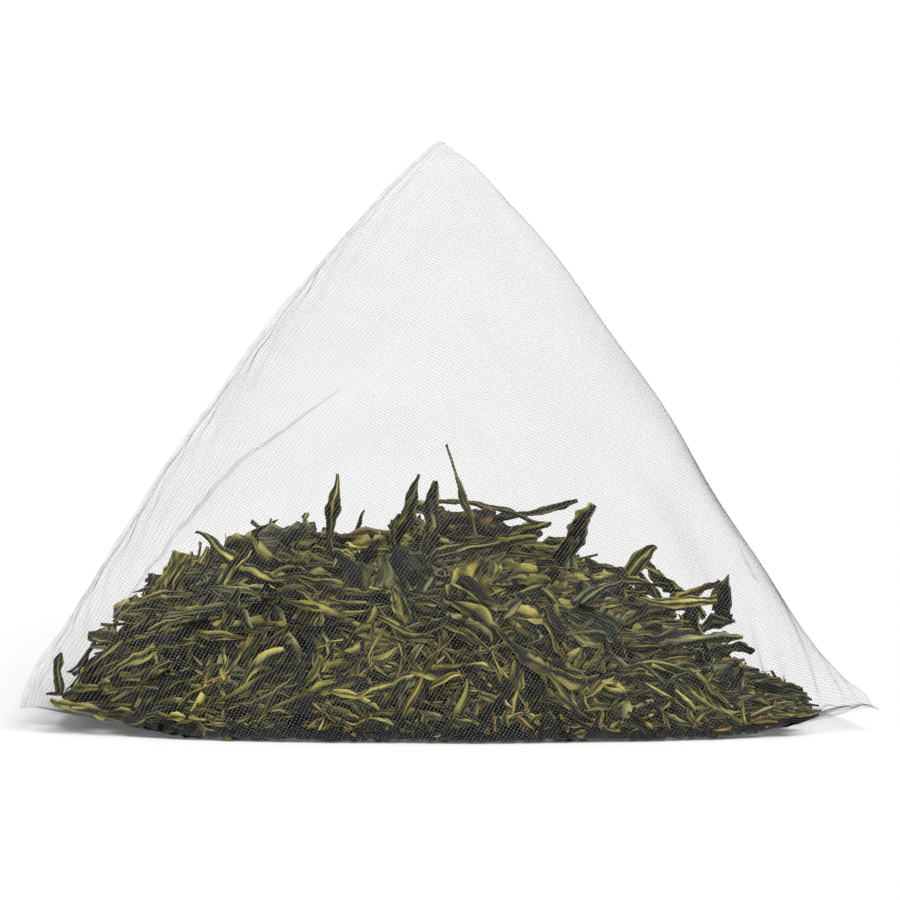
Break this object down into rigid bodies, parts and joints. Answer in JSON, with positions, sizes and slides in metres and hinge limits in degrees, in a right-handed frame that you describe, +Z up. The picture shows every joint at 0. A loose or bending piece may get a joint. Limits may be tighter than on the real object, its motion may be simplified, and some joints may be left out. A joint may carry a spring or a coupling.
{
  "type": "pyramid tea bag",
  "caption": "Four-cornered see-through bag of fine woven mesh, welded along two edges and resting on one side, with loose rolled leaf tea inside.",
  "frame": {"origin": "middle of the bag's outline seen from above, at the level of its flat underside", "axes": "+Z up; +X along the front fold from the left tip to the right tip; +Y towards the back tip"},
  "size_m": [0.0596, 0.055, 0.0393],
  "materials": {
    "woven_mesh": "fine plain weave of clear white monofilament, slightly glossy, see-through",
    "packed_tea": "dry broken leaf in deep shade, matte",
    "rolled_leaf": "dry rolled green tea leaf, olive, wrinkled lengthwise",
    "pale_flake": "dry yellow-green flake of leaf, matte",
    "leaf_stem": "dry thin leaf stem, yellow-brown"
  },
  "bodies": {
    "root": {"mesh_bag": "woven_mesh", "leaf_heap": "packed_tea", "flake_01": "pale_flake", "flake_02": "pale_flake", "flake_03": "pale_flake", "flake_04": "pale_flake", "flake_05": "pale_flake", "flake_06": "pale_flake", "flake_07": "pale_flake", "flake_08": "pale_flake", "flake_09": "pale_flake", "flake_10": "pale_flake", "flake_corner": "pale_flake", "stem_01": "leaf_stem", "stem_02": "leaf_stem", "stem_03": "leaf_stem", "stem_tall": "leaf_stem", "strip_01": "rolled_leaf", "strip_02": "rolled_leaf", "strip_03": "rolled_leaf", "strip_04": "rolled_leaf", "strip_05": "rolled_leaf", "strip_06": "rolled_leaf", "strip_07": "rolled_leaf", "strip_08": "rolled_leaf", "strip_09": "rolled_leaf", "strip_10": "rolled_leaf", "strip_11": "rolled_leaf", "strip_12": "rolled_leaf", "strip_13": "rolled_leaf", "strip_14": "rolled_leaf", "strip_15": "rolled_leaf", "strip_16": "rolled_leaf", "strip_17": "rolled_leaf", "strip_18": "rolled_leaf", "strip_19": "rolled_leaf", "strip_20": "rolled_leaf", "strip_21": "rolled_leaf", "strip_22": "rolled_leaf", "strip_23": "rolled_leaf", "strip_24": "rolled_leaf", "strip_25": "rolled_leaf", "strip_26": "rolled_leaf", "strip_27": "rolled_leaf", "strip_28": "rolled_leaf", "strip_29": "rolled_leaf", "strip_30": "rolled_leaf", "strip_31": "rolled_leaf", "strip_32": "rolled_leaf", "strip_33": "rolled_leaf", "strip_34": "rolled_leaf", "strip_35": "rolled_leaf", "strip_36": "rolled_leaf", "strip_broad": "rolled_leaf", "strip_curved": "rolled_leaf", "strip_long": "rolled_leaf", "strip_low": "rolled_leaf", "strip_upright": "rolled_leaf"}
  },
  "joints": []
}
